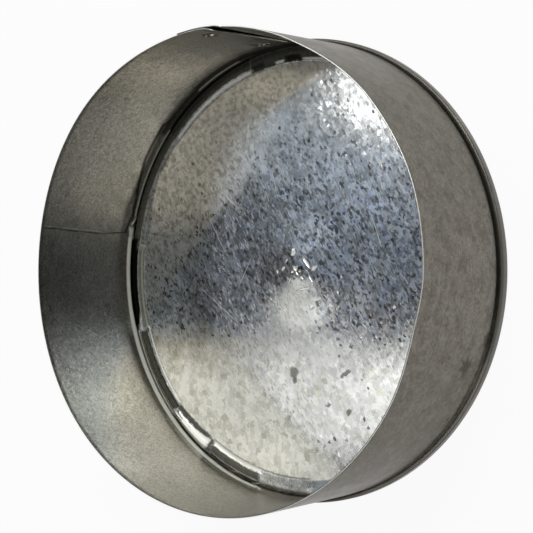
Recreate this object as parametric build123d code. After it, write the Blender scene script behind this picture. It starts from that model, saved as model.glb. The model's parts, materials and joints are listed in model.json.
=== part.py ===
from build123d import *
import os
from math import cos, degrees, hypot, radians, sin

# Duct end cap: a rolled sheet collar that slips over the end of a round duct, closed by a pressed
# round plate that is locked to the collar with a double seam. The collar's axis is +Z, its mouth is
# at the top and the seam's flat underside rests on Z = 0. All lengths are in millimetres.

# Sheet and duct
sheet = 0.7
layer_gap = 0.05
duct_radius = 127.0
slip_clearance = 0.3
overall_height = 82.5

# Double seam: five layers of sheet, plate and collar by turns
seam_height = 5.4
seam_corner = 0.9
fold_slack = 0.03
sharpest_bend = 0.6

# Pressure ridge: the roller leaves it in the collar's wall above the seam, standing inwards
ridge_depth = 0.9
ridge_bottom = 3.7
ridge_length = 4.8
ridge_bend = 1.8
ridge_margin = 1.6

# End plate: a shallow dish inside a raised bead, with the mark of the centre punch
plate_recess = 1.9
bead_width = 8.4
bead_crest_inset = 2.0
bead_rise = 1.5
shoulder_drop = 0.7
bead_bend = 1.6
shoulder_bend = 0.7
dish_depth = 1.0
punch_radius = 3.0
punch_floor = 0.8
punch_depth = 0.4
punch_bend = 1.2

# Lap of the collar's two ends, near +Y
lap_start = 89.0
lap_width = 25.0
joggle_width = 6.0
lap_foot = 1.2

# Round clinches through the lap: distance from the inner end's cut edge, and depths below the mouth
clinch_inset = 14.4
clinch_depths = [15.5, 62.0]
clinch_punch_radius = 2.5
clinch_punch_depth = 1.0
clinch_button_radius = 3.3
clinch_button_height = 0.9
clinch_edge = 0.5

# Radii worked out from the sizes above
bore_radius = duct_radius + slip_clearance
wall_radius = bore_radius + sheet
wall_middle = bore_radius + sheet / 2
layer_pitch = sheet + layer_gap
chuck_middle = wall_middle - layer_pitch
cover_hook_middle = wall_middle + layer_pitch
body_hook_middle = wall_middle + 2 * layer_pitch
seam_middle = wall_middle + 3 * layer_pitch
fold_radius = layer_pitch - fold_slack

# Heights worked out from the sizes above
seam_floor = sheet / 2
seam_roof = seam_height - sheet / 2
body_fold_floor = seam_floor + layer_pitch
body_hook_top = seam_roof - fold_radius - layer_gap
cover_hook_end = body_fold_floor + fold_radius + layer_gap
ridge_top = ridge_bottom + ridge_length
ring_top = ridge_top + ridge_margin
lap_bottom = ring_top - lap_foot
plate_edge_middle = plate_recess + sheet / 2
plate_centre_middle = plate_edge_middle - dish_depth


def side_of_sheet(path, bends, shift):
    """Corners and bend radii of the line that lies shift to the left of a sheet's middle line.
    The inner side of a bend tighter than sharpest_bend is pressed to a plain corner."""
    headings = []
    for start, end in zip(path, path[1:]):
        run = hypot(end[0] - start[0], end[1] - start[1])
        headings.append(((end[0] - start[0]) / run, (end[1] - start[1]) / run))
    first, last = headings[0], headings[-1]
    corners = [(path[0][0] - first[1] * shift, path[0][1] + first[0] * shift)]
    radii = []
    for point, before, after, bend in zip(path[1:-1], headings, headings[1:], bends):
        along = before[0] * after[0] + before[1] * after[1]
        turn = before[0] * after[1] - before[1] * after[0]
        reach = shift / (1 + along)
        corners.append(
            (point[0] - (before[1] + after[1]) * reach, point[1] + (before[0] + after[0]) * reach)
        )
        side_bend = bend - shift if turn > 0 else bend + shift
        radii.append(side_bend if side_bend > sharpest_bend else 0)
    corners.append((path[-1][0] - last[1] * shift, path[-1][1] + last[0] * shift))
    return corners, radii


def turned_sheet(path, bends):
    """Solid of revolution of a sheet, given its middle line as (radius, height) and its bends."""
    left_corners, left_radii = side_of_sheet(path, bends, sheet / 2)
    right_corners, right_radii = side_of_sheet(path, bends, -sheet / 2)
    with BuildPart() as turned:
        with BuildSketch(Plane.XZ):
            with BuildLine():
                left = FilletPolyline(*left_corners, radius=left_radii)
                right = FilletPolyline(*right_corners, radius=right_radii)
                Line(left @ 0, right @ 0)
                Line(left @ 1, right @ 1)
            make_face()
        revolve(axis=Axis.Z)
    return turned.part


def on_circle(radius, angle):
    """Point of the plan at a radius and an angle in degrees from +X."""
    return (radius * cos(radians(angle)), radius * sin(radians(angle)))


def band(inner, outer, start, sweep, height):
    """Plan of a curved strip between two radii, extruded by height."""
    with BuildPart() as strip:
        with BuildSketch():
            with BuildLine():
                inside = CenterArc((0, 0), inner, start, sweep)
                outside = CenterArc((0, 0), outer, start, sweep)
                Line(inside @ 0, outside @ 0)
                Line(inside @ 1, outside @ 1)
            make_face()
        extrude(amount=height)
    return strip.part


def joggle(start, sweep, height):
    """Short ramp that takes the collar's wall outwards by one sheet, over the end that lies inside."""
    middle = start + sweep / 2
    end = start + sweep
    half = sheet / 2
    with BuildPart() as ramp:
        with BuildSketch():
            with BuildLine():
                inside = ThreePointArc(
                    on_circle(bore_radius, start),
                    on_circle(bore_radius + half, middle),
                    on_circle(wall_radius, end),
                )
                outside = ThreePointArc(
                    on_circle(wall_radius, start),
                    on_circle(wall_radius + half, middle),
                    on_circle(wall_radius + sheet, end),
                )
                Line(inside @ 0, outside @ 0)
                Line(inside @ 1, outside @ 1)
            make_face()
        extrude(amount=height)
    return ramp.part


def clinch_plane(angle, height):
    """Plane on the inner face of the wall, facing outwards, at a clinch."""
    x, y = on_circle(bore_radius, angle)
    return Plane(origin=(x, y, height), z_dir=(cos(radians(angle)), sin(radians(angle)), 0))


def clinch_button(plane):
    """Round button that the clinch raises on the outside, from within the sheets outwards."""
    root = sheet
    length = 2 * sheet + clinch_button_height - root
    with BuildPart() as button:
        with BuildSketch(plane.offset(root)):
            Circle(clinch_button_radius)
        extrude(amount=length)
        rims = button.edges().filter_by(GeomType.CIRCLE)
        fillet(rims.sort_by(Axis(plane.origin, plane.z_dir))[-1], clinch_edge)
    return button.part


def clinch_pocket(plane):
    """Round pocket that the clinch leaves on the inside."""
    below = sheet
    with BuildPart() as pocket:
        with BuildSketch(plane.offset(-below)):
            Circle(clinch_punch_radius)
        extrude(amount=below + clinch_punch_depth)
    return pocket.part


def seam_end_of_collar():
    """Lower ring of the collar: plain wall, pressure ridge, fold and the hook inside the seam."""
    path = [
        (wall_middle, ring_top),
        (wall_middle, ridge_top),
        (wall_middle - ridge_depth, ridge_bottom + ridge_length / 2),
        (wall_middle, ridge_bottom),
        (wall_middle, body_fold_floor),
        (body_hook_middle, body_fold_floor),
        (body_hook_middle, body_hook_top),
    ]
    return turned_sheet(path, [ridge_bend, ridge_bend, ridge_bend, fold_radius, fold_radius])


def make_collar():
    """Rolled collar with its lapped ends clinched together and its lower edge hooked for the seam."""
    lap_angle = degrees(lap_width / wall_radius)
    joggle_angle = degrees(joggle_width / wall_radius)
    wall_height = overall_height - ring_top
    lap_height = overall_height - lap_bottom
    wall = band(bore_radius, wall_radius, lap_start, 360 - joggle_angle, wall_height)
    ramp = joggle(lap_start - joggle_angle, joggle_angle, lap_height)
    outer_end = band(wall_radius, wall_radius + sheet, lap_start, lap_angle, lap_height)
    collar = seam_end_of_collar() + Pos(0, 0, ring_top) * wall
    collar += Pos(0, 0, lap_bottom) * ramp
    collar += Pos(0, 0, lap_bottom) * outer_end
    clinch_angle = lap_start + degrees(clinch_inset / wall_radius)
    for depth in clinch_depths:
        plane = clinch_plane(clinch_angle, overall_height - depth)
        collar += clinch_button(plane)
        collar -= clinch_pocket(plane)
    return collar


def make_end_plate():
    """Pressed round plate: punched centre, shallow dish, raised bead, and the wall, floor and hook
    that wrap the collar's lower edge."""
    disc_edge = bore_radius - layer_gap - sheet - bead_width
    crest_radius = chuck_middle - bead_crest_inset
    crest_height = plate_edge_middle + bead_rise
    path = [
        (0, plate_centre_middle - punch_depth),
        (punch_floor, plate_centre_middle - punch_depth),
        (punch_radius, plate_centre_middle),
        (disc_edge, plate_edge_middle),
        (crest_radius, crest_height),
        (chuck_middle, crest_height - shoulder_drop),
        (chuck_middle, seam_floor),
        (seam_middle, seam_floor),
        (seam_middle, seam_roof),
        (cover_hook_middle, seam_roof),
        (cover_hook_middle, cover_hook_end),
    ]
    bends = [
        punch_bend,
        punch_bend,
        bead_bend,
        bead_bend,
        shoulder_bend,
        seam_corner,
        seam_corner,
        fold_radius,
        fold_radius,
    ]
    return turned_sheet(path, bends)


os.makedirs("parts", exist_ok=True)
export_step(make_collar(), "parts/collar.step")
export_step(make_end_plate(), "parts/end_plate.step")
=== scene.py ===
import json
from math import acos, ceil, cos, degrees, hypot, pi, radians, sin, tan

import bpy
import numpy as np
from mathutils import Matrix, Vector


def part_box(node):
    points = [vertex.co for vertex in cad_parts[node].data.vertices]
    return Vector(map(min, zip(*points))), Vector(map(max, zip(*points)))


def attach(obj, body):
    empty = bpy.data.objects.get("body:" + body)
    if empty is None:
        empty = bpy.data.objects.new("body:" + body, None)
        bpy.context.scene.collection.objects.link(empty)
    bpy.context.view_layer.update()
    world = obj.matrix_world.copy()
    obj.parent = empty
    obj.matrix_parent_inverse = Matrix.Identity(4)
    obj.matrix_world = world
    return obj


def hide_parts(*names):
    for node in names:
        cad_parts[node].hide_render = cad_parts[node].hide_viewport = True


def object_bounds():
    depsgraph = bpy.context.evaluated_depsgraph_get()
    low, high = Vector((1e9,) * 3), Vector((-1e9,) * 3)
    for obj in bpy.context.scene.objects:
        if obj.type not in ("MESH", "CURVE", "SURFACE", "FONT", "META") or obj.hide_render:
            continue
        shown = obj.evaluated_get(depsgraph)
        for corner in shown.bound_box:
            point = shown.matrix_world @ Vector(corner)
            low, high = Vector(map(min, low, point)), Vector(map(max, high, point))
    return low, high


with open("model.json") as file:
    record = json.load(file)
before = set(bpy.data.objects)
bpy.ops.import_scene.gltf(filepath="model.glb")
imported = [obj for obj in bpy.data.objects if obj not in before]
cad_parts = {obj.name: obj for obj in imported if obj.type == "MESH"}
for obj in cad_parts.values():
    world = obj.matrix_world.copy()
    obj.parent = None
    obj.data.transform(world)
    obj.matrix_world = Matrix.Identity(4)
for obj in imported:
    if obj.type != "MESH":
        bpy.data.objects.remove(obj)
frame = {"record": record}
cad_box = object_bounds()

# Lengths are in millimetres and angles in degrees from +X towards +Y. Meshes, lamps and the camera
# are in metres
MM = 0.001

# Sizes that the frame gives
mounts = {mount["name"]: mount for mount in frame["record"]["mounts"]}
bore_radius = mounts["duct_bore"]["dims"]["r_mm"]
overall_height = cad_box[1].z / MM
seam_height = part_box("end_plate")[1].z / MM

# Sheet and the layers of the double seam
sheet = 0.7
layer_gap = 0.05
seam_corner = 0.9
fold_slack = 0.03
wall_middle = bore_radius + sheet / 2
wall_radius = bore_radius + sheet
layer_pitch = sheet + layer_gap
chuck_middle = wall_middle - layer_pitch
cover_hook_middle = wall_middle + layer_pitch
body_hook_middle = wall_middle + 2 * layer_pitch
seam_middle = wall_middle + 3 * layer_pitch
fold_radius = layer_pitch - fold_slack
seam_floor = sheet / 2
seam_roof = seam_height - sheet / 2
body_fold_floor = seam_floor + layer_pitch
body_hook_top = seam_roof - fold_radius - layer_gap
cover_hook_end = body_fold_floor + fold_radius + layer_gap

# Pressure ridge above the seam
ridge_depth = 0.9
ridge_bottom = 3.7
ridge_length = 4.8
ridge_bend = 1.8
ridge_middle = ridge_bottom + ridge_length / 2
ridge_top = ridge_bottom + ridge_length

# End plate: dished disc, raised bead and centre punch
plate_recess = 1.9
dish_depth = 1.0
bead_width = 8.4
bead_crest_inset = 2.0
bead_rise = 1.5
shoulder_drop = 0.7
bead_bend = 1.6
shoulder_bend = 0.7
punch_radius = 3.0
punch_floor = 0.9
punch_depth = 0.4
punch_bend = 1.2
pole_radius = 0.6
pole_bend = 0.2
plate_edge_middle = plate_recess + sheet / 2
plate_centre_middle = plate_edge_middle - dish_depth
disc_edge = bore_radius - layer_gap - sheet - bead_width
crest_radius = chuck_middle - bead_crest_inset
crest_height = plate_edge_middle + bead_rise
shoulder_height = crest_height - shoulder_drop

# Buckle that lifts the middle of the disc as a low cone with a blunt foot
cone_height = 1.35
cone_radius = 36.0
cone_end = 8.0

# The plate's places have this added to x on its outer side, so that marks lie on the inner side alone
outer_shift = 400.0

# Direction in which the plate's sheet was rolled
rolling_angle = -60.0

# Lap of the collar's two ends
lap_start = 89.0
lap_width = 25.0
joggle_width = 6.0
lap_angle = degrees(lap_width / wall_radius)
joggle_angle = degrees(joggle_width / wall_radius)
lap_foot_gap = 0.1
lap_bottom = seam_height + lap_foot_gap
lap_gape = 1.6
gape_angle = 4.5

# Clinches through the lap
clinch_inset = 14.4
clinch_angle = lap_start + degrees(clinch_inset / wall_radius)
clinch_depths = [15.5, 62.0]
clinch_radius = 2.6
clinch_depth = 1.3
clinch_ramp = 0.8
clinch_rim = 0.35
clinch_rim_width = 0.9
clinch_dimple = 0.6
dimple_radius = 1.5

# Rounding of the sheet's cut edges, left and right, at the mouth and elsewhere
mouth_rounds = (0.3, 0.12)
hem_rounds = (0.1, 0.1)

# Fineness of the meshes, finer round the clinches
angle_step = 0.75
least_angle_gap = 0.02
bend_step = 18.0
wall_spacing = 3.0
plate_spacing = 2.4
clinch_zone = 4.0
clinch_spacing = 0.4
clinch_zone_angle = 2.0
clinch_angle_step = 0.16


def ease(share):
    """Smooth step of a share from 0 to 1."""
    share = np.clip(share, 0, 1)
    return share * share * (3 - 2 * share)


def around(places, angle):
    """Value at an angle, eased between the places (angle, value) of a closed ring."""
    knots = np.array(places, float)
    knots = np.vstack([knots[-1] - [360, 0], knots, knots[0] + [360, 0]])
    angle = (np.asarray(angle, float) - knots[0, 0]) % 360 + knots[0, 0]
    index = np.clip(np.searchsorted(knots[:, 0], angle, side="right") - 1, 0, len(knots) - 2)
    share = (angle - knots[index, 0]) / (knots[index + 1, 0] - knots[index, 0])
    return knots[index, 1] + (knots[index + 1, 1] - knots[index, 1]) * ease(share)


def bent_line(corners, bends, spacing):
    """Middle line of the sheet: straight runs with rounded corners, divided to the spacing."""
    corners = [np.array(corner, float) for corner in corners]
    points = [corners[0]]
    for before, corner, after, bend in zip(corners, corners[1:], corners[2:], bends):
        into = (corner - before) / hypot(*(corner - before))
        out = (after - corner) / hypot(*(after - corner))
        turn = acos(np.clip(into @ out, -1, 1))
        side = 1 if into[0] * out[1] - into[1] * out[0] > 0 else -1
        arm = side * bend * np.array([into[1], -into[0]])
        centre = corner - into * bend * tan(turn / 2) - arm
        steps = max(2, ceil(degrees(turn) / bend_step))
        for step in range(steps + 1):
            swing = side * turn * step / steps
            points.append(centre + [
                arm[0] * cos(swing) - arm[1] * sin(swing),
                arm[0] * sin(swing) + arm[1] * cos(swing),
            ])
    points.append(corners[-1])
    line = [points[0]]
    for start, end in zip(points, points[1:]):
        parts = max(1, ceil(hypot(*(end - start)) / spacing))
        line += [start + (end - start) * part / parts for part in range(1, parts + 1)]
    return np.array(line)


def refined(line, column, low, high, spacing):
    """The line with extra points where one of its coordinates lies between low and high."""
    points = [line[0]]
    for start, end in zip(line, line[1:]):
        inside = low <= (start[column] + end[column]) / 2 <= high
        parts = max(1, ceil(hypot(*(end - start)) / spacing)) if inside else 1
        points += [start + (end - start) * part / parts for part in range(1, parts + 1)]
    return np.array(points)


def cap(tip, ahead, side, left_round, right_round, steps=4):
    """Points round the cut end of a sheet, from its left side to its right side."""
    half = sheet / 2
    points = []
    for sign, radius in ((1, left_round), (-1, right_round)):
        centre = tip + side * sign * (half - radius) - ahead * radius
        swings = np.linspace(0, pi / 2, steps) if sign > 0 else np.linspace(pi / 2, 0, steps)
        points += [centre + radius * (side * sign * cos(s) + ahead * sin(s)) for s in swings]
    return points


def sheet_outline(line, first_rounds, last_rounds):
    """Closed outline of the sheet round its middle line, and which of its points are on cut ends.
    Where rounds is None the sheet's end is left square."""
    steps = np.diff(line, axis=0)
    steps /= np.hypot(steps[:, 0], steps[:, 1])[:, None]
    ahead = np.vstack([steps[:1], steps[:-1] + steps[1:], steps[-1:]])
    ahead /= np.hypot(ahead[:, 0], ahead[:, 1])[:, None]
    side = np.stack([-ahead[:, 1], ahead[:, 0]], 1)
    left = list(line + side * sheet / 2)
    right = list(line - side * sheet / 2)
    if last_rounds:
        end = cap(line[-1], ahead[-1], side[-1], *last_rounds)
        left.pop()
        right.pop()
    else:
        end = []
    if first_rounds:
        start = cap(line[0], -ahead[0], -side[0], first_rounds[1], first_rounds[0])
        left.pop(0)
        right.pop(0)
    else:
        start = []
    outline = left + end + right[::-1] + start
    cut = [False] * len(left) + [True] * len(end) + [False] * len(right) + [True] * len(start)
    return np.array(outline), np.array(cut)


def add_mesh(name, points, places, faces, slots):
    """Smooth-shaded mesh object from points and their places on the flat sheet in millimetres, with
    a material slot for each face."""
    mesh = bpy.data.meshes.new(name)
    mesh.from_pydata((points * MM).tolist(), [], faces)
    mesh.polygons.foreach_set("material_index", slots)
    attribute = mesh.attributes.new("sheet_place", "FLOAT_VECTOR", "POINT")
    attribute.data.foreach_set("vector", places.ravel())
    mesh.validate()
    mesh.shade_smooth()
    piece = bpy.data.objects.new(name, mesh)
    bpy.context.scene.collection.objects.link(piece)
    return piece


def grid_faces(columns, rows, first):
    """Quads between the columns of a swept closed outline of that many rows."""
    faces = []
    for column in range(columns - 1):
        here = first + column * rows
        there = here + rows
        for row in range(rows):
            after = (row + 1) % rows
            faces.append((here + row, there + row, there + after, here + after))
    return faces


def to_place(radius, height, angle):
    """Points in space of arrays of radius, height and angle."""
    turn = np.radians(angle)
    return np.stack([radius * np.cos(turn), radius * np.sin(turn), height], -1)


def angles_between(start, end, fine_zones):
    """Angles from start to end in even steps, with finer steps in zones (low, high, step)."""
    count = max(1, round((end - start) / angle_step))
    angles = list(np.linspace(start, end, count + 1))
    for low, high, step in fine_zones:
        low, high = max(low, start), min(high, end)
        if high > low:
            angles += list(np.arange(low, high, step))
    angles = np.array(sorted(angles))
    keep = np.append(True, np.diff(angles) > least_angle_gap)
    return angles[keep]


# Out-of-round of the mouth, in millimetres of radius at places (angle, offset)
mouth_shape = [
    (0, 1.6), (20, 2.3), (38, 1.4), (66, -1.5), (100, -1.3), (138, 0.9), (178, -0.5), (225, 0.8),
    (262, 0.4), (300, 0.7), (328, 0.7), (346, -0.5),
]

# Shift of the pressure ridge, outwards where it is worn flat
ridge_shape = [
    (150, 0.0), (185, 0.25), (215, -0.2), (235, 0.45), (265, 0.5), (283, 0.68), (340, 0.68),
    (350, 0.0),
]


def wall_shape(radius, height, angle):
    """Radius of the collar's wall as it has been bent: out-of-round mouth, uneven ridge, gaping lap
    and clinches."""
    wall = np.clip((height - ridge_top) / (overall_height - ridge_top), 0, 1)
    radius = radius + around(mouth_shape, angle) * wall
    ridge = np.cos(np.clip((height - ridge_middle) / ridge_length, -0.5, 0.5) * pi) ** 2
    radius = radius + around(ridge_shape, angle) * ridge * (height > ridge_bottom)
    into_lap = (angle - lap_start) / gape_angle
    radius = radius - lap_gape * np.clip(1 - into_lap, 0, 1) ** 2 * wall ** 1.5
    over_lap = (angle - lap_start - 360 + joggle_angle) / joggle_angle
    radius = radius + (sheet + layer_gap) * ease(over_lap)
    across = np.radians((angle - clinch_angle + 180) % 360 - 180) * wall_radius
    for depth in clinch_depths:
        distance = np.hypot(across, height - (overall_height - depth))
        off_rim = abs(distance - clinch_radius - clinch_ramp)
        radius = radius + clinch_depth * ease((clinch_radius + clinch_ramp - distance) / clinch_ramp)
        radius = radius - clinch_rim * ease(1 - off_rim / clinch_rim_width)
        radius = radius - clinch_dimple * ease(1 - distance / dimple_radius)
    return radius


def make_collar():
    """Rolled strip whose ends overlap at the lap, with its lower edge folded into the seam."""
    corners = [
        (wall_middle, overall_height),
        (wall_middle, ridge_top),
        (wall_middle - ridge_depth, ridge_middle),
        (wall_middle, ridge_bottom),
        (wall_middle, body_fold_floor),
        (body_hook_middle, body_fold_floor),
        (body_hook_middle, body_hook_top),
    ]
    line = bent_line(corners, [ridge_bend] * 3 + [fold_radius] * 2, wall_spacing)
    for depth in clinch_depths:
        height = overall_height - depth
        line = refined(line, 1, height - clinch_zone, height + clinch_zone, clinch_spacing)
    zones = [(clinch_angle - clinch_zone_angle, clinch_angle + clinch_zone_angle, clinch_angle_step)]
    points, places, faces, slots = [], [], [], []

    def add_strip(strip_line, start, end, first_rounds, fine_zones):
        outline, cut = sheet_outline(strip_line, first_rounds, hem_rounds)
        angles = angles_between(start, end, fine_zones)
        radius, angle = np.meshgrid(outline[:, 0], angles)
        height = np.meshgrid(outline[:, 1], angles)[0]
        rows = len(outline)
        face = np.where(np.arange(rows) < rows / 2, wall_radius, bore_radius)
        depth = np.meshgrid(np.where(cut, outline[:, 0], face), angles)[0]
        arc = np.radians(angle) * wall_radius
        places.append(np.stack([arc, height, depth], -1).reshape(-1, 3))
        first = sum(len(block) for block in points)
        bent = to_place(wall_shape(radius, height, angle), height, angle)
        points.append(bent.reshape(-1, 3))
        strip_faces = grid_faces(len(angles), rows, first)
        faces.extend(strip_faces)
        edge = cut & np.roll(cut, -1)
        slots.extend([int(edge[index % rows]) for index in range(len(strip_faces))])
        for column, flip in ((0, False), (len(angles) - 1, True)):
            ring = [first + column * rows + row for row in range(rows)]
            back = ring[::-1]
            ends = [(ring[k], ring[k + 1], back[k + 1], back[k]) for k in range(rows // 2 - 1)]
            faces.extend([end[::-1] if flip else end for end in ends])
            slots.extend([1] * len(ends))

    # The inner end with the ring, the seam's part below the joggle, and the joggle with the outer end
    joggle_start = lap_start + 360 - joggle_angle
    add_strip(line, lap_start, joggle_start, mouth_rounds, zones)
    parting = np.array([[wall_middle, lap_bottom]])
    lower = np.vstack([parting, line[line[:, 1] <= lap_bottom]])
    add_strip(lower, joggle_start, lap_start + 360, hem_rounds, [])
    upper = np.vstack([line[line[:, 1] > lap_bottom], parting])
    lap_zones = [(low + 360, high + 360, step) for low, high, step in zones]
    add_strip(upper, joggle_start, lap_start + 360 + lap_angle, mouth_rounds, lap_zones)
    return add_mesh("collar_sheet", np.vstack(points), np.vstack(places), faces, slots)


# The disc's edge moved outwards or inwards at places (angle, offset)
edge_shape = [
    (0, 0.0), (132, 0.0), (139, 0.2), (144, 2.4), (150, 2.8), (158, 1.2), (164, -1.2), (190, -2.2),
    (199, 0.0), (236, 0.0), (250, 0.6), (262, -0.8), (278, -0.8), (300, 0.0),
]

# The bead's crest moved inwards, and its outer shoulder sunk into a gutter, at places (angle, offset)
crest_shift = [
    (0, 0.0), (100, 0.6), (135, 0.8), (160, 0.8), (172, 1.4), (194, 1.4), (198, 0.2), (236, 0.2),
    (240, 1.6), (256, 1.6), (259, 0.8), (273, 0.8), (280, 0.0),
]
gutter_sink = [
    (0, 0.0), (100, 0.5), (165, 0.8), (173, 2.2), (194, 2.2), (198, 0.3), (257, 0.3), (275, 0.0),
]

# Share of a sharp step in the bead's inner slope at places (angle, share)
step_share = [
    (90, 0.5), (98, 0.5), (99, 0.0), (105.5, 0.0), (107, 1.0), (138, 1.0), (139.5, 0.0), (194, 0.0),
    (197, 1.0), (222, 1.0), (224, 0.0), (237, 0.0), (239, 1.0), (257, 1.0), (258.5, 0.0),
]

# The bead's crest raised or lowered at places (angle, lift)
crest_lift = [
    (0, 0.0), (100, 0.2), (138, 0.0), (145, -0.9), (160, -0.9), (175, -0.6), (192, -0.4),
    (198, 0.8), (223, 0.8), (236, 0.4), (239, -0.3), (256, -0.2), (260, 0.3), (270, 0.3),
    (276, 0.0),
]

# Sharp step: radius at which it starts, how wide it is, and its share of the bead's rise
step_start = 119.0
step_width = 2.4
step_depth = 0.9

# Reach of the edge's offset into the disc, of the crest's lift, and of the crest's shift inwards
edge_reach = 16.0
lift_reach = 3.5
crest_reach = 6.0

# Gutter: how far inside the crest it starts, how wide its slope is, and how far from the wall it ends
sink_lead = 0.3
sink_width = 1.2
sink_margin = 0.05


def plate_shape(radius, height, angle):
    """The end plate as it has been pressed: uneven disc edge and bead, and a slightly buckled disc."""
    wall = chuck_middle - sheet / 2
    beyond = radius - crest_radius
    slope = (radius - disc_edge) / (crest_radius - disc_edge)
    near_edge = np.where(
        radius < disc_edge, ease(1 - (disc_edge - radius) / edge_reach), ease(1 - slope)
    )
    lift = around(crest_lift, angle) * ease(1 - abs(beyond) / lift_reach) * (radius < wall)
    step = ease((radius - step_start) / step_width) - np.clip(slope, 0, 1)
    step = step * (beyond < 0)
    lift = lift + around(step_share, angle) * bead_rise * step_depth * step
    sink = ease((beyond + sink_lead) / sink_width) * (beyond < wall - crest_radius - sink_margin)
    lift = lift - around(gutter_sink, angle) * sink
    on_crest = np.where(
        beyond < 0, ease(1 + beyond / crest_reach), ease(1 - beyond / (wall - crest_radius))
    )
    radius = radius + around(edge_shape, angle) * near_edge * (beyond < 0)
    radius = radius - around(crest_shift, angle) * on_crest
    slack = cone_radius - radius
    blunt = np.clip(slack, 0, None) ** 2 / (2 * cone_end)
    cone = cone_height / cone_radius * np.where(slack > cone_end, slack - cone_end / 2, blunt)
    return radius, height + lift + cone


def make_end_plate():
    """Pressed plate with its rim rolled round the collar's lower edge."""
    corners = [
        (pole_radius, plate_centre_middle - punch_depth),
        (punch_floor, plate_centre_middle - punch_depth),
        (punch_radius, plate_centre_middle),
        (disc_edge, plate_edge_middle),
        (crest_radius, crest_height),
        (chuck_middle, shoulder_height),
        (chuck_middle, seam_floor),
        (seam_middle, seam_floor),
        (seam_middle, seam_roof),
        (cover_hook_middle, seam_roof),
        (cover_hook_middle, cover_hook_end),
    ]
    bends = [pole_bend, punch_bend, bead_bend, bead_bend, shoulder_bend]
    bends += [seam_corner, seam_corner, fold_radius, fold_radius]
    line = bent_line(corners, bends, plate_spacing)
    outline = sheet_outline(line, None, hem_rounds)[0]
    angles = np.arange(0, 360, angle_step)
    radius, angle = np.meshgrid(outline[:, 0], angles)
    height = np.meshgrid(outline[:, 1], angles)[0]
    radius, height = plate_shape(radius, height, angle)
    points = to_place(radius, height, angle).reshape(-1, 3)

    # Quads between the columns, and fans round the poles of the inner and the outer side
    rows = len(outline)
    pole = len(points)
    points = np.vstack([points, [[0, 0, outline[0, 1]], [0, 0, outline[-1, 1]]]])
    starts = [column * rows for column in range(len(angles))]
    columns = list(zip(starts, starts[1:] + starts[:1]))
    faces = []
    for here, there in columns:
        for row in range(rows - 1):
            faces.append((here + row, there + row, there + row + 1, here + row + 1))
    for here, there in columns:
        faces.append((here, pole, there))
        faces.append((there + rows - 1, pole + 1, here + rows - 1))
    places = points.copy()
    outer_side = np.append(np.arange(pole) % rows >= len(line) - 1, [False, True])
    places[outer_side, 0] += outer_shift
    return add_mesh("end_plate_sheet", points, places, faces, [0] * len(faces))


class Value:
    """Output of a node. Arithmetic with it adds math nodes to the same tree."""

    def __init__(self, socket):
        self.socket = socket
        self.tree = socket.id_data

    def __add__(self, other):
        return maths("ADD", self, other)

    def __sub__(self, other):
        return maths("SUBTRACT", self, other)

    def __rsub__(self, other):
        return maths("SUBTRACT", other, self)

    def __mul__(self, other):
        return maths("MULTIPLY", self, other)


def add(tree, kind, output, inputs, **settings):
    """Output of a new node of a kind, whose inputs take plain values or other nodes' outputs."""
    node = tree.nodes.new("ShaderNode" + kind)
    for name, value in settings.items():
        setattr(node, name, value)
    for name, value in inputs.items():
        if isinstance(value, Value):
            tree.links.new(value.socket, node.inputs[name])
        else:
            node.inputs[name].default_value = value
    return Value(node.outputs[output])


def tree_of(*values):
    """Node tree of the first value that is a node's output."""
    return next(value.tree for value in values if isinstance(value, Value))


def maths(operation, *values):
    """Output of a math node."""
    return add(tree_of(*values), "Math", 0, dict(enumerate(values)), operation=operation)


def most(*values):
    """The largest of several values."""
    total = values[0]
    for value in values[1:]:
        total = maths("MAXIMUM", total, value)
    return total


def vectors(operation, *values):
    """Vector output of a vector math node."""
    return add(tree_of(*values), "VectorMath", 0, dict(enumerate(values)), operation=operation)


def length(vector):
    """Length of a vector."""
    return add(vector.tree, "VectorMath", "Value", {0: vector}, operation="LENGTH")


def scaled(vector, amount):
    """The vector or colour times an amount."""
    inputs = {0: vector, "Scale": amount}
    return add(tree_of(vector, amount), "VectorMath", 0, inputs, operation="SCALE")


def component(vector, index):
    """One component of a vector."""
    return add(vector.tree, "SeparateXYZ", index, {0: vector})


def channel(colour, index):
    """One channel of a colour."""
    return add(colour.tree, "SeparateColor", index, {0: colour})


def remap(value, low, high, to_low=0.0, to_high=1.0):
    """Value moved from one range to another and held inside it."""
    ranges = {"From Min": low, "From Max": high, "To Min": to_low, "To Max": to_high}
    return add(value.tree, "MapRange", "Result", {"Value": value, **ranges})


def mixed(share, first, second):
    """Colour between two colours."""
    first, second = [(*value, 1) if isinstance(value, tuple) else value for value in (first, second)]
    return add(share.tree, "Mix", 2, {"Factor": share, 6: first, 7: second}, data_type="RGBA")


def layered(base, *layers):
    """The base colour under layers (share, colour), the last of them on top."""
    for share, colour in layers:
        base = mixed(share, base, colour)
    return base


def framed(place, centre, size, angle):
    """Place measured from a centre along turned axes, in units of the size along each axis."""
    frame_inputs = {"Location": (*centre, 0), "Rotation": (0, 0, radians(angle)), "Scale": (*size, 1)}
    return add(place.tree, "Mapping", 0, {"Vector": place, **frame_inputs}, vector_type="TEXTURE")


def noise(place, size, detail=2.0, roughness=0.5, output="Fac"):
    """Soft noise whose features have about that size in millimetres."""
    inputs = {"Vector": place, "Scale": 1 / size, "Detail": detail, "Roughness": roughness}
    return add(place.tree, "TexNoise", output, inputs)


def tilt(colour, amount):
    """Random vector from a colour, up to half that amount each way."""
    return scaled(vectors("SUBTRACT", colour, (0.5, 0.5, 0.5)), amount)


def warped(place, size, amount, detail=2.0):
    """The place moved about by noise of that size, up to half that amount each way."""
    return vectors("ADD", place, tilt(noise(place, size, detail, output="Color"), amount))


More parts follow.
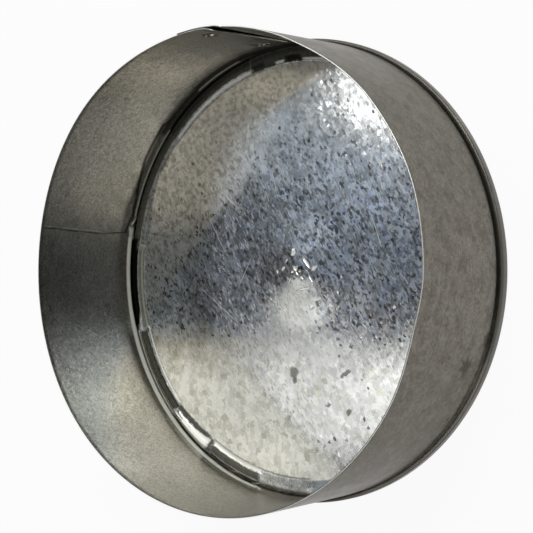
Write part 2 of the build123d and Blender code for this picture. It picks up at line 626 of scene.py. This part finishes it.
def spangle(place, size, waver):
    """Zinc crystals of that size: a random colour for each crystal, with wavering borders."""
    bent = warped(place, size * 0.8, waver * size)
    return add(place.tree, "TexVoronoi", "Color", {"Vector": bent, "Scale": 1 / size})


def marks(place, blots, softness):
    """Share from 0 to 1 that is high inside the blots (x, y, half length, half width, angle)."""
    flat = vectors("MULTIPLY", place, (1, 1, 0))
    shares = []
    for x, y, half_length, half_width, angle in blots:
        distance = length(framed(flat, (x, y), (half_length, half_width), angle))
        shares.append(remap(distance, 1 + softness, 1 - softness))
    return most(0.0, *shares)


def bars(x, y, places, soft_x=0.5, soft_y=0.35):
    """Share from 0 to 1 inside long bars (start, end, middle, half width, slope, strength)."""
    shares = []
    for start, end, middle, half, slope, strength in places:
        centre = (start + end) / 2
        reach = (end - start) / 2
        off = maths("ABSOLUTE", y + (x * -slope + (slope * centre - middle)))
        across = maths("ABSOLUTE", x - centre)
        inside_x = remap(across, reach + soft_x, reach - soft_x, 0.0, strength)
        shares.append(inside_x * remap(off, half + soft_y, half - soft_y))
    return most(0.0, *shares)


def turn_of(x, y):
    """Angle round the axis in degrees, from 0 to 360."""
    return maths("ARCTAN2", y * -1.0, x * -1.0) * degrees(1) + 180.0


def empty_material(name):
    """Material with an empty node tree."""
    material = bpy.data.materials.new(name)
    material.use_nodes = True
    material.node_tree.nodes.clear()
    return material


def new_material(name):
    """Material with a principled shader, and the place on the flat sheet that its pieces carry."""
    material = empty_material(name)
    tree = material.node_tree
    shader = tree.nodes.new("ShaderNodeBsdfPrincipled")
    output = tree.nodes.new("ShaderNodeOutputMaterial")
    tree.links.new(shader.outputs["BSDF"], output.inputs["Surface"])
    place = add(tree, "Attribute", "Vector", {}, attribute_name="sheet_place")
    return material, shader, place


def feed(shader, inputs):
    """Links nodes' outputs to the shader's inputs of those names."""
    for name, value in inputs.items():
        value.tree.links.new(value.socket, shader.inputs[name])


# Painted shade with some grime, painted black shadows, grey bars and painted highlights on the plate's
# rim as bars: angles in degrees, radius in millimetres
rim_shade_and_grime = [
    (66, 106.5, 122.6, 4.2, 0.0, 0.95), (52, 67, 122.8, 3.4, 0.0, 0.6),
    (36, 53, 123.2, 2.6, 0.0, 0.3), (106, 140, 124.6, 3.4, 0.0, 0.95),
    (139, 172, 124.6, 2.6, 0.0, 0.95), (158, 171.5, 119.8, 1.0, 0.0, 0.7),
    (174, 197, 121.0, 0.5, 0.0, 0.5), (197.5, 223, 122.2, 2.3, 0.0, 1.0),
    (222.5, 237, 119.6, 1.6, -0.14, 0.85), (238.8, 257, 122.4, 2.2, 0.0, 0.85),
    (258, 273, 122.3, 4.0, 0.0, 0.25), (100, 136, 118.2, 0.3, 0.0, 0.6),
    (238.5, 274, 117.4, 0.35, 0.0, 0.9), (196, 222, 117.9, 0.25, 0.0, 0.5),
]
rim_black_shadows = [
    (171, 195.5, 126.4, 2.4, 0.0, 1.0), (237, 238.8, 122.0, 4.0, 0.0, 0.8),
    (89.5, 94.6, 120.8, 1.5, 0.0, 0.9), (102, 106, 121.2, 1.2, 0.0, 0.6),
]
rim_grey_bars = [
    (172.5, 197, 119.9, 2.6, 0.0, 0.9), (197.5, 223, 122.4, 1.2, 0.0, 0.3),
    (239, 257, 122.4, 1.8, 0.0, 0.5), (139, 171, 123.6, 1.8, 0.0, 0.45),
    (106, 140, 122.6, 0.8, 0.0, 0.4),
]
rim_rubbed = [
    (106.8, 138.6, 119.8, 0.62, 0.0, 0.9), (95, 98, 119.8, 0.8, 0.0, 0.9),
    (196.5, 222, 118.7, 0.45, 0.0, 0.9), (197, 223, 126.4, 0.6, 0.0, 1.0),
    (222, 228, 126.0, 0.7, -0.1, 0.95), (226, 237.2, 124.8, 1.8, -0.05, 0.95),
    (230, 237.2, 122.0, 1.7, -0.36, 0.95), (239, 257, 118.5, 1.0, 0.0, 0.95),
    (192, 197.5, 124.8, 0.5, 0.3, 0.9), (172, 174, 121.5, 3.6, 0.0, 0.15),
    (174, 197, 122.6, 0.4, 0.0, 0.3), (174, 197, 119.4, 0.4, 0.0, 0.25),
    (78, 88.6, 119.4, 0.7, 0.0, 0.85),
]

# The same on the foot of the collar's inner wall, painted shadow lines with some grime and painted
# highlights, and a painted shadow in the groove at the foot of its outer wall: angles in degrees,
# height in millimetres
foot_shadows_and_grime = [
    (80, 140, 6.5, 4.6, 0.0, 0.75), (103, 123, 12.6, 1.6, -0.05, 0.7),
    (132.6, 137.4, 10.0, 1.1, 1.3, 0.9), (136.5, 150, 12.8, 1.2, -0.06, 0.95),
    (149, 159, 10.4, 1.2, -0.33, 0.95), (158, 165.5, 8.3, 0.9, -0.1, 0.9),
    (165, 169.6, 10.2, 0.9, 0.85, 0.9), (136, 171, 3.8, 0.7, 0.0, 0.9),
    (171, 196, 4.2, 1.6, 0.0, 1.0), (195, 258, 4.9, 1.0, 0.0, 0.85),
    (225, 263, 13.4, 1.3, 0.02, 0.35), (259, 273, 5.0, 2.2, 0.0, 0.4),
]
foot_rubbed = [
    (108, 123.3, 8.2, 0.8, 0.0, 0.45), (138, 165, 5.8, 0.9, 0.0, 0.7),
    (165, 167.4, 6.2, 0.6, 1.2, 1.0), (168, 171.4, 6.6, 2.0, -0.5, 0.8),
    (170.5, 258, 7.3, 1.4, 0.004, 1.0), (254.8, 260, 5.8, 0.6, 1.3, 1.0),
    (247, 249.6, 4.6, 0.4, 1.1, 0.6), (263, 265.4, 5.0, 0.4, 1.2, 0.6),
    (197, 223, 3.1, 0.5, 0.0, 1.0),
]
groove_shadow = [(352, 436, 6.6, 2.0, 0.0, 0.85)]

# Marks on the disc as (x, y, half length, half width, angle of the length)
disc_stains = [
    (-4, -57.5, 3.0, 2.6, 80), (-3.4, -61.5, 2.6, 1.6, 100), (-25.5, -74, 3.4, 2.0, 70),
    (31.5, -57, 4.0, 1.3, 30), (-8, -85, 2.8, 1.4, 60), (-1, -89, 1.5, 1.1, 0),
    (-5, -93, 1.4, 1.0, 90), (34, -78, 2.2, 1.4, 40), (20, -75, 1.6, 1.0, 20),
    (12, -101, 2.0, 1.2, 50), (-25, -94.5, 2.4, 1.5, 110), (-56.5, -62.3, 2.8, 1.5, 60),
    (-64.1, -86.3, 2.6, 1.2, 20), (-26.7, -96, 2.6, 1.3, 70), (-64.6, 68.3, 0.9, 0.8, 0),
]
disc_scratches = [
    (-54.2, -23.8, 18.0, 0.35, 325), (-49.0, 39.8, 8.6, 0.3, 318), (-60, 20, 11.0, 0.22, 300),
    (-40, -2, 9.0, 0.2, 62), (-82, 30, 9.0, 0.22, 75), (30, 42, 12.0, 0.2, 300),
    (52, 20, 9.0, 0.22, 110), (-18, 50, 10.0, 0.2, 285),
]
# The fan below the centre, which gets a painted highlight from a trace of the frosted colour, and fewer
# flecks
disc_fan = [
    (-1, -10, 6, 9, 90), (-4, -18, 10, 13, 90), (-7, -30, 13, 20, 90), (-9, -42, 10, 27, 90),
]
# Pecks at the centre: small relief, with painted highlights in a pale colour
centre_peck_glints = [
    (-4.2, 10.1, 1.9, 1.6, 60), (4.8, 4.8, 3.9, 0.8, 310), (10.1, 1.4, 1.9, 1.2, 20),
    (-11.2, 1.2, 1.4, 0.9, 40), (-15.5, -0.7, 1.2, 0.7, 100), (-2.9, 1.4, 1.8, 0.9, 330),
    (-4.6, -0.7, 1.0, 0.7, 0), (0.1, -0.9, 1.1, 0.8, 0), (7.9, -4.4, 2.6, 0.5, 303),
    (8.8, -8.1, 1.6, 0.5, 252), (3.4, -10.4, 5.0, 0.5, 10), (-6.5, -5.5, 1.6, 0.5, 70),
    (2.0, -4.0, 1.3, 0.5, 320), (-9.0, 5.5, 1.2, 0.4, 50),
]
# Dents as dark lines: painted shade
disc_dent_shadows = [(72.4, -13.7, 10.0, 0.5, 303), (60, -26, 8.0, 0.45, 300), (38, -34, 7.0, 0.4, 310)]

# Marks on the collar as (distance round the wall, height, half length, half width, angle of the
# length)
# Creases as dark lines: painted shade
wall_crease_shadows = [
    (377.9, 73.8, 7.4, 0.45, 92), (378.8, 58.0, 9.2, 0.45, 93), (379.6, 41.0, 9.2, 0.4, 93),
    (379.3, 21.0, 12.0, 0.4, 86), (118.0, 28.0, 8.0, 0.3, 100), (104.0, 33.0, 16.0, 0.3, 160),
    (74.0, 41.0, 18.0, 0.25, 170),
]
# Pale lines: the first three are painted highlights along the creases, the rest scratches
wall_scratches = [
    (376.7, 73.8, 7.0, 0.3, 92), (377.6, 58.0, 9.0, 0.25, 93), (378.4, 41.0, 9.0, 0.25, 93),
    (438.7, 47.0, 10.6, 0.25, 112), (420.0, 30.0, 6.0, 0.2, 70),
]
wall_stains = [
    (754.4, 23.0, 4.4, 3.2, 40), (754.4, 23.0, 6.6, 1.4, 100), (754.4, 23.0, 6.4, 1.4, 15),
    (755.5, 24.5, 6.6, 1.3, 55), (753.5, 22.0, 6.0, 1.3, 150), (768.3, 9.6, 4.4, 2.4, 20),
    (722.0, 13.4, 1.6, 1.3, 0), (709.6, 16.1, 1.3, 1.0, 0), (103.9, 54.4, 1.2, 1.0, 0),
]

# Round marks at the clinches: dark halo, bright ring that is a painted highlight, and the pit that is
# left out of the ring
clinch_arc = radians(clinch_angle) * wall_radius
clinch_heights = [overall_height - depth for depth in clinch_depths]
clinch_halos = [(clinch_arc, height, 4.6, 4.6, 0) for height in clinch_heights]
clinch_ring_glints = [(clinch_arc, height, 2.9, 2.9, 0) for height in clinch_heights]
clinch_pits = [(clinch_arc - 0.4, height, 1.5, 1.5, 0) for height in clinch_heights]

# Pale dust in the groove outside, which also paints light over the groove's shade: angles between which
# it lies and over which it fades, and colour
dust_and_light_start = (282.0, 292.0)
dust_and_light_end = (344.0, 336.0)
dust_and_light_colour = (0.40, 0.38, 0.34)
dust_and_light_dullness = 0.95

# Sizes of the zinc's crystals, and the factors that draw them out along the rolling direction
coarse_crystals = 2.6
fine_crystals = 1.35
thin_crystals = 0.8
collar_crystals = 1.6
crystal_stretch = (0.7, 1, 1)
thin_stretch = (0.35, 1, 1)

# Heights of the relief of the rolls' streaks and of the pecks at the centre, in metres
streak_height = 0.000006
peck_height = 0.00015


def dust_and_light_zone(turn):
    """Share of pale dust, which also paints light over the groove's shade, at an angle round the
    outside.
    """
    return remap(turn, *dust_and_light_end) * remap(turn, *dust_and_light_start)


def plate_zinc():
    """Bright zinc of the pressed plate: low flat crystals with dull flecks between, fine streaks
    from the rolls, stains, scratches, a frosted zone that partly paints light, zones of painted
    reflection, and a rim with painted shade and highlights among some grime."""
    material, shader, place = new_material("plate_zinc")
    rolled_place = framed(place, (0, 0), (1, 1), rolling_angle)
    crystals = vectors("MULTIPLY", rolled_place, crystal_stretch)
    coarse = spangle(crystals, coarse_crystals, 1.2)
    fine = spangle(crystals, fine_crystals, 1.0)
    thin = spangle(vectors("MULTIPLY", rolled_place, thin_stretch), thin_crystals, 1.0)
    bloom = noise(place, 16.0, 5.0)
    x, y = component(place, 0), component(place, 1)
    radius = length(vectors("MULTIPLY", place, (1, 1, 0)))

    # Zones of the disc: the fan below the centre, the upper left corner, which is painted lighter, and
    # the belt between
    fan = marks(place, disc_fan, 0.5)
    corner = remap(y - x + remap(bloom, 0.3, 0.7, -12.0, 12.0), 84.0, 112.0)
    shadow_side = most(corner, remap(y, 75.0, 98.0))
    # Band along the corner's edge, a painted reflection as a paler grey band
    corner_edge_light = 1.0 - maths("ABSOLUTE", corner * 2.0 + -1.0)
    below = remap(y, -44.0, -30.0)
    above = remap(y, 105.0, 30.0)
    belt = below * above * remap(x, -90.0, 10.0, 0.85, 1.0) * (1.0 - fan) * (corner * -0.9 + 1.0)
    # Zone of painted reflection: dark bluish left of the centre, pale bluish at the far left
    reflection_tint = below * remap(y, 60.0, 25.0) * remap(x, -5.0, -38.0)
    far = remap(x, -62.0, -88.0)

    # Dull and bright flecks, each a share of the crystals, most of them in the belt
    limit = remap(belt, 0.0, 1.0, 0.99, 0.58)
    fleck = remap(channel(fine, 0) - limit, 0.0, 0.03) * remap(channel(fine, 1), 0.0, 1.0, 0.1, 0.95)
    shine = remap(channel(thin, 0), 0.80, 0.83) * remap(channel(thin, 1), 0.0, 1.0, 0.15, 0.85)
    shine = shine * (belt * 0.75 + 0.15)
    gilt = remap(channel(thin, 2), 0.84, 0.88) * 0.7 * (remap(x, 30.0, -10.0) * above)
    worms = remap(noise(place, 3.0, 4.0, 0.6), 0.49, 0.57)
    worms = worms * (shadow_side * 0.34 + 0.08) * (1.0 - corner_edge_light)
    patch = spangle(place, 3.6, 1.1)
    mottle = remap(channel(patch, 0), 0.78, 0.86) * remap(y, -36.0, -50.0, 0.0, 0.6)
    mottle = mottle * remap(channel(patch, 1), 0.0, 1.0, 0.2, 1.0)
    mottle_colour = scaled((0.36, 0.36, 0.30), remap(channel(patch, 2), 0.0, 1.0, 0.7, 1.5))

    # Single marks
    stain = marks(warped(place, 1.6, 3.2, 3.0), disc_stains, 0.25)
    scratch = marks(place, disc_scratches, 0.5)
    dent_shadow = marks(warped(place, 3.0, 1.6), disc_dent_shadows, 0.5)
    pecks_and_glints = marks(place, centre_peck_glints, 0.35)

    # Metal of the zones, shaded crystal by crystal
    contrast = (belt * 0.5 + 0.3) * (fan * -0.35 + 1.0)
    shade = (channel(coarse, 0) - 0.5) * contrast + 0.98 + remap(bloom, 0.3, 0.7, -0.08, 0.06)
    blue = remap(channel(coarse, 1), 0.4, 0.9) * (belt * 0.6)
    metal = layered(
        (0.63, 0.635, 0.63),
        (blue, (0.58, 0.65, 0.80)),
        (reflection_tint, mixed(far, (0.34, 0.375, 0.43), (0.72, 0.84, 1.0))),
        # Painted light on the shadow side and the upper left corner, where the disc reflects the dark
        # collar
        (shadow_side * 0.9, (0.93, 0.97, 1.0)),
    )

    # Frosted patch at the lower left, with a slanting edge, and a trace of it on the fan: a pale dull
    # colour that partly paints light
    across = x * 0.77 + y + remap(channel(coarse, 2), 0.0, 1.0, -3.0, 3.0)
    ragged = y + remap(noise(place, 9.0, 4.0, 0.6), 0.3, 0.7, -7.0, 7.0)
    frost_and_light = remap(across, -85.0, -94.0) * remap(ragged, -44.0, -66.0)
    frost_and_light = most(frost_and_light * 0.85, fan * 0.2) * remap(radius, disc_edge + 0.5, disc_edge - 0.5)
    frost_and_light_tone = shade * remap(noise(crystals, 1.0, 3.0, 0.6), 0.3, 0.7, 0.84, 1.14)
    frost_and_light_colour = mixed(mottle * 1.2, scaled((0.99, 0.99, 0.95), frost_and_light_tone), (0.52, 0.52, 0.44))

    # Painted shade with some grime in the rim's folds, painted black shadows in its crevices, grey
    # bars, and painted highlights where light catches it
    waver = remap(noise(place, 2.5, 3.0), 0.2, 0.8, -0.45, 0.45)
    turn = waver * 1.4 + turn_of(x, y)
    wavering = radius + waver
    shade_and_grime = bars(turn, wavering, rim_shade_and_grime, 0.6, 0.5)
    black_shadow = bars(turn, wavering, rim_black_shadows, 0.6, 0.5)
    grey_bars = bars(turn, wavering, rim_grey_bars, 0.6, 0.5)
    rubbed = bars(turn, waver * 0.15 + radius, rim_rubbed)
    bar_tone = remap(noise(place, 1.6, 4.0, 0.7), 0.3, 0.7)
    painted_rim_marks = most(shade_and_grime, black_shadow, grey_bars)

    # The outer side is plain, but duller and darker where it is rolled round the seam, partly
    # weathering and partly painted shade, with dust in the groove that also paints light
    outer = maths("GREATER_THAN", x, outer_shift / 2)
    true_x = outer * -outer_shift + x
    true_radius = maths("SQRT", true_x * true_x + y * y)
    rolled = remap(true_radius, wall_radius - 0.1, wall_radius + 0.2)
    # Pale dust on the seam's roof that also paints light over the groove's shade
    dust_and_light = dust_and_light_zone(turn_of(true_x, y)) * rolled * remap(true_radius, 130.0, 129.6)

    base = layered(
        scaled(metal, shade),
        (corner_edge_light * 0.6, (0.95, 0.97, 0.98)),
        (worms, (0.24, 0.21, 0.18)),
        (mottle, mottle_colour),
        (gilt, (0.36, 0.31, 0.20)),
        (fleck, (0.07, 0.063, 0.055)),
        (shine, (0.97, 0.98, 1.0)),
        (stain * 0.45, (0.36, 0.35, 0.29)),
        (dent_shadow * 0.55, (0.06, 0.06, 0.06)),
        (scratch * 0.6, (0.9, 0.9, 0.88)),
        (pecks_and_glints, (0.97, 0.97, 0.95)),
        (frost_and_light, frost_and_light_colour),
        (shade_and_grime, mixed(bar_tone, (0.018, 0.018, 0.013), (0.06, 0.058, 0.042))),
        (grey_bars, mixed(bar_tone, (0.10, 0.098, 0.075), (0.22, 0.215, 0.17))),
        (black_shadow, (0.004, 0.004, 0.003)),
        (rubbed, (0.95, 0.95, 0.92)),
        (rolled, scaled((0.165, 0.155, 0.135), remap(bloom, 0.3, 0.7, 0.8, 1.15))),
        (dust_and_light, dust_and_light_colour),
    )
    haze = remap(maths("ABSOLUTE", x + 50.0), 40.0, 0.0, 0.0, 0.14)
    rough = most(painted_rim_marks, frost_and_light * 0.6) * 0.45 + remap(noise(place, 30.0, 3.0), 0.3, 0.7, 0.08, 0.13)
    rough = most(stain, scratch, rubbed, rolled) * 0.25 + (rough + haze)
    dull = most(rubbed * 0.4, frost_and_light * 0.6, reflection_tint * far * 0.10, painted_rim_marks * 0.85, most(pecks_and_glints, rolled) * 0.7,
                dust_and_light * dust_and_light_dullness)

    # Each crystal is tilted a little, and a few of the fine ones more
    steep = remap(channel(fine, 2), 0.93, 0.97) * 0.06 + 0.007
    normal = add(place.tree, "NewGeometry", "Normal", {})
    normal = vectors("ADD", vectors("ADD", normal, tilt(coarse, 0.006)), tilt(fine, steep))
    normal = vectors("NORMALIZE", normal)
    streaks = noise(framed(place, (0, 0), (14, 1), rolling_angle), 0.9)
    for relief, relief_height in ((streaks, streak_height), (pecks_and_glints, peck_height)):
        inputs = {"Height": relief, "Distance": relief_height, "Strength": 1.0, "Normal": normal}
        normal = add(place.tree, "Bump", 0, inputs)

    feed(shader, {
        "Base Color": base,
        "Roughness": rough,
        "Metallic": 1.0 - dull,
        "Specular IOR Level": painted_rim_marks * -0.4 + 0.5,
        "Normal": normal,
    })
    return material


def collar_zinc():
    """Dull, fine-grained zinc of the collar, browner on the outside and darker there with painted
    shade, with painted light and shade round each side, stains, creases drawn as painted shade, painted
    shadow lines and highlights among some grime at its foot, and marks round the clinches with a
    painted highlight."""
    material, shader, place = new_material("collar_zinc")
    arc, height, depth = [component(place, index) for index in range(3)]
    outside = maths("GREATER_THAN", depth, wall_middle + 0.2)
    inside = 1.0 - outside
    turn = arc * (degrees(1) / wall_radius)
    grain = spangle(place, collar_crystals, 1.0)
    bloom = noise(place, 11.0, 5.0, 0.6)

    # Shade: grain, soft clouds, and painted light and shade round the ring on each side
    cloud = noise(vectors("MULTIPLY", place, (0.6, 1, 1)), 40.0, 3.0)
    shade = remap(channel(grain, 0), 0, 1, 0.86, 1.12) + remap(bloom, 0.3, 0.7, -0.10, 0.08)
    shade = shade + remap(noise(place, 1.3, 4.0, 0.75), 0.35, 0.65, -0.30, 0.30)
    shade = shade + remap(cloud, 0.3, 0.7, -0.06, 0.06)
    rise = maths("SINE", arc * (1 / wall_radius))
    painted_outside_shade = remap(rise, 0.2, 0.85, 1.0, 0.9) * remap(rise, -0.2, -0.8, 1.0, 0.6)
    inside_light_and_shade = remap(rise, -0.5, -0.85, 1.0, 1.5) + remap(rise, 0.7, 0.95, 0.0, 0.3)
    inside_light_and_shade = remap(maths("ABSOLUTE", rise), 0.0, 0.3, 0.74, 1.0) * inside_light_and_shade
    shade = shade * (outside * painted_outside_shade + inside * inside_light_and_shade)

    patina = remap(noise(place, 7.0, 8.0, 0.75), 0.46, 0.62, 0.0, 0.6)
    pale = remap(noise(vectors("ADD", place, (70, 30, 0)), 9.0, 8.0, 0.75), 0.50, 0.66, 0.0, 0.5)
    stain = marks(warped(place, 2.4, 5.0, 4.0), wall_stains, 0.4) * outside
    crease_shadows = marks(place, wall_crease_shadows, 0.6)
    scratches = marks(place, wall_scratches, 0.6)
    waver = remap(noise(place, 3.0, 3.0), 0.2, 0.8, -0.4, 0.4)
    # Painted shadow lines with some grime, and painted highlights, at the foot of the inner wall
    shade_and_grime = bars(turn, height + waver, foot_shadows_and_grime, 0.5, 0.6) * inside
    rubbed = bars(turn, height, foot_rubbed, 0.4, 0.4) * inside
    # Pale dust at the foot of the outside that also paints light over the groove's shade
    dust_and_light = dust_and_light_zone(turn) * (outside * remap(height, 8.6, 6.6))
    # Painted shadow in the groove at the foot of the outer wall
    groove = bars(turn, height, groove_shadow, 4.0, 0.5) * outside
    halo = marks(place, clinch_halos, 0.25)
    # Bright ring round each clinch: painted highlight
    ring = marks(place, clinch_ring_glints, 0.25) - marks(place, clinch_pits, 0.3)
    # The outside is browner and darker than the inside: partly weathering, partly painted shade
    base = layered(
        scaled(mixed(outside, (0.278, 0.258, 0.225), (0.185, 0.172, 0.148)), shade),
        (patina * outside, (0.085, 0.072, 0.06)),
        (pale * outside, (0.23, 0.22, 0.19)),
        (stain * 0.9, (0.06, 0.05, 0.04)),
        (crease_shadows * 0.85, (0.03, 0.03, 0.025)),
        (scratches * 0.25, (0.8, 0.8, 0.75)),
        (shade_and_grime, (0.04, 0.04, 0.03)),
        (rubbed, (0.85, 0.84, 0.78)),
        (dust_and_light, scaled(dust_and_light_colour, shade)),
        (groove, (0.03, 0.03, 0.025)),
        (halo * 0.8, (0.05, 0.05, 0.04)),
        (most(ring, 0.0), (0.95, 0.95, 0.92)),
    )
    foot = outside * remap(height, 13.0, 7.0) * 0.6
    normal = add(place.tree, "NewGeometry", "Normal", {})
    normal = vectors("ADD", normal, tilt(grain, 0.05))
    normal = vectors("ADD", normal, tilt(noise(place, 1.3, 4.0, 0.75, "Color"), 0.10))
    feed(shader, {
        "Base Color": base,
        "Roughness": rubbed * 0.25 + remap(bloom, 0.3, 0.7, 0.27, 0.36),
        "Metallic": rubbed * -0.7 + 1.0 - most(foot, dust_and_light * dust_and_light_dullness),
        # Darker reflections on the outside: painted shade
        "Specular Tint": mixed(outside, (1.0, 1.0, 1.0), (0.76, 0.75, 0.73)),
        "Normal": vectors("NORMALIZE", normal),
    })
    return material


def cut_steel():
    """Sheared edge of the sheet, with a painted highlight along the outer corner of the mouth."""
    material, shader, place = new_material("cut_steel")
    arc, height, depth = [component(place, index) for index in range(3)]
    lap_rim = radians(lap_start + 360 + 2) * wall_radius

    # The mouth's edge has a painted highlight as far as two degrees past the place where the lap starts
    bright = remap(depth, wall_middle - 0.1, wall_middle + 0.15)
    bright = bright * remap(height, overall_height - 1.0, overall_height - 0.6)
    bright = bright * remap(arc, lap_rim, lap_rim + 4.0, 1.0, 0.1)
    feed(shader, {
        "Base Color": mixed(bright, (0.25, 0.24, 0.22), (0.85, 0.85, 0.83)),
        "Roughness": remap(noise(place, 0.6, 3.0), 0.3, 0.7, 0.3, 0.5),
    })
    shader.inputs["Metallic"].default_value = 1.0
    return material


# Floor: its size in metres, its colour, and how far it is white where it is seen
floor_size = 30
floor_colour = (0.88, 0.88, 0.88, 1)
floor_white = 0.93


def make_floor():
    """Plain pale floor under the cap, which takes the cap's shadow and is near white where the
    camera, a gloss or a clear material sees it."""
    bpy.ops.mesh.primitive_plane_add(size=floor_size, location=(0, 0, 0))
    floor = bpy.context.object
    floor.name = "floor"
    material = empty_material("pale_floor")
    tree = material.node_tree
    seen = [add(tree, "LightPath", f"Is {ray} Ray", {}) for ray in ("Camera", "Glossy", "Transmission")]
    matt = add(tree, "BsdfDiffuse", 0, {"Color": floor_colour})
    glow = add(tree, "Emission", 0, {})
    surface = add(tree, "MixShader", 0, {0: most(*seen) * floor_white, 1: matt, 2: glow})
    output = tree.nodes.new("ShaderNodeOutputMaterial")
    tree.links.new(surface.socket, output.inputs["Surface"])
    floor.data.materials.append(material)


# Camera: where it stands, what it looks at and which way is up in the picture, in metres, its lens
# and sensor in millimetres
camera_place = Vector((0.47435, -0.00048, 0.65398))
camera_aim = Vector((0.03774, 0.0019, 0.0825))
camera_up = Vector((0, 1, 0.0042))
camera_lens = 96.315
camera_sensor = 36


def make_camera():
    """Camera on the +X side, rolled so that the cap's +Y is up in the picture."""
    camera = bpy.data.objects.new("camera", bpy.data.cameras.new("camera"))
    bpy.context.scene.collection.objects.link(camera)
    camera.data.sensor_width = camera_sensor
    camera.data.lens = camera_lens
    back = (camera_place - camera_aim).normalized()
    right = camera_up.cross(back).normalized()
    up = back.cross(right)
    axes = Matrix((right, up, back)).transposed().to_4x4()
    camera.matrix_world = Matrix.Translation(camera_place) @ axes
    bpy.context.scene.camera = camera


# Softboxes: azimuth and elevation in degrees, distance, width and height in metres, radiance, colour
softboxes = [
    ("key_1", 45, 52, 1.3, 0.30, 0.30, 2.9, (0.98, 1, 0.98)),
    ("key_2", 65, 52, 1.3, 0.30, 0.34, 6.2, (0.98, 1, 0.92)),
    ("key_3", 90, 52, 1.3, 0.58, 0.34, 3.0, (0.97, 1, 0.97)),
    ("key_4", 116, 52, 1.3, 0.30, 0.34, 3.9, (0.97, 1, 0.97)),
    ("key_5", 133, 52, 1.3, 0.22, 0.30, 2.7, (0.97, 1, 0.98)),
    ("key_top", 95, 68, 1.3, 0.9, 0.22, 3.9, (0.98, 1, 0.96)),
    ("key_low", 90, 38, 1.3, 1.0, 0.2, 0.8, (0.97, 1, 0.93)),
    ("fill_1", 243, 52, 1.3, 0.4, 0.3, 1.5, (1, 0.93, 0.78)),
    ("fill_2", 287, 52, 1.3, 0.7, 0.3, 1.8, (1, 0.98, 0.9)),
    ("fill_3", 322, 52, 1.3, 0.35, 0.3, 1.8, (1, 0.96, 0.85)),
    ("front", 355, 57, 1.3, 0.4, 0.3, 0.4, (0.88, 1, 1)),
    ("over", 0, 89.9, 1.3, 0.35, 0.35, 0.5, (1, 0.97, 0.9)),
    ("low", 90, 24, 1.3, 1.2, 0.25, 0.45, (1, 0.9, 0.7)),
    ("rear_1", 148, 55, 2.5, 0.50, 0.90, 0.5, (1, 0.99, 0.93)),
    ("rear_2", 163.6, 58.4, 2.5, 0.18, 0.26, 2.5, (1, 1, 0.96)),
    ("rear_3", 176, 58, 2.5, 0.33, 0.45, 0.16, (0.6, 0.75, 1)),
    ("rear_4", 171, 53, 2.5, 0.20, 0.50, 0.26, (0.75, 0.88, 1)),
    ("rear_5", 190, 52, 2.5, 0.30, 0.35, 0.95, (1, 1, 0.97)),
    ("rear_6", 191.5, 58.5, 2.5, 0.20, 0.22, 1.5, (1, 1, 0.97)),
]


def add_softbox(name, azimuth, elevation, distance, width, height, radiance, colour):
    """Rectangular area light that faces the cap from a direction, with an even radiance."""
    light = bpy.data.lights.new(name, "AREA")
    light.shape = "RECTANGLE"
    light.size = width
    light.size_y = height
    light.energy = pi * width * height * radiance
    light.color = colour
    lamp = bpy.data.objects.new(name, light)
    bpy.context.scene.collection.objects.link(lamp)
    around_z, up = radians(azimuth), radians(elevation)
    back = Vector((cos(around_z) * cos(up), sin(around_z) * cos(up), sin(up)))
    lamp.location = back * distance
    lamp.rotation_euler = back.to_track_quat("Z", "Y").to_euler()


# Dim even room light
room_colour = (0.95, 0.98, 1.0, 1)
room_strength = 0.15


def make_world():
    """World that lights the cap evenly from all sides."""
    world = bpy.data.worlds.new("studio")
    bpy.context.scene.world = world
    world.use_nodes = True
    background = world.node_tree.nodes["Background"]
    background.inputs["Color"].default_value = room_colour
    background.inputs["Strength"].default_value = room_strength


make_camera()
make_floor()
make_world()
for softbox in softboxes:
    add_softbox(*softbox)

collar = make_collar()
end_plate = make_end_plate()
edge = cut_steel()
finishes = {"collar": collar_zinc(), "end_plate": plate_zinc()}
for piece, node in ((collar, "collar"), (end_plate, "end_plate")):
    piece.data.materials.append(finishes[node])
    piece.data.materials.append(edge)
    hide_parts(node)
    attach(piece, "root")

bpy.context.scene.view_settings.view_transform = "Standard"
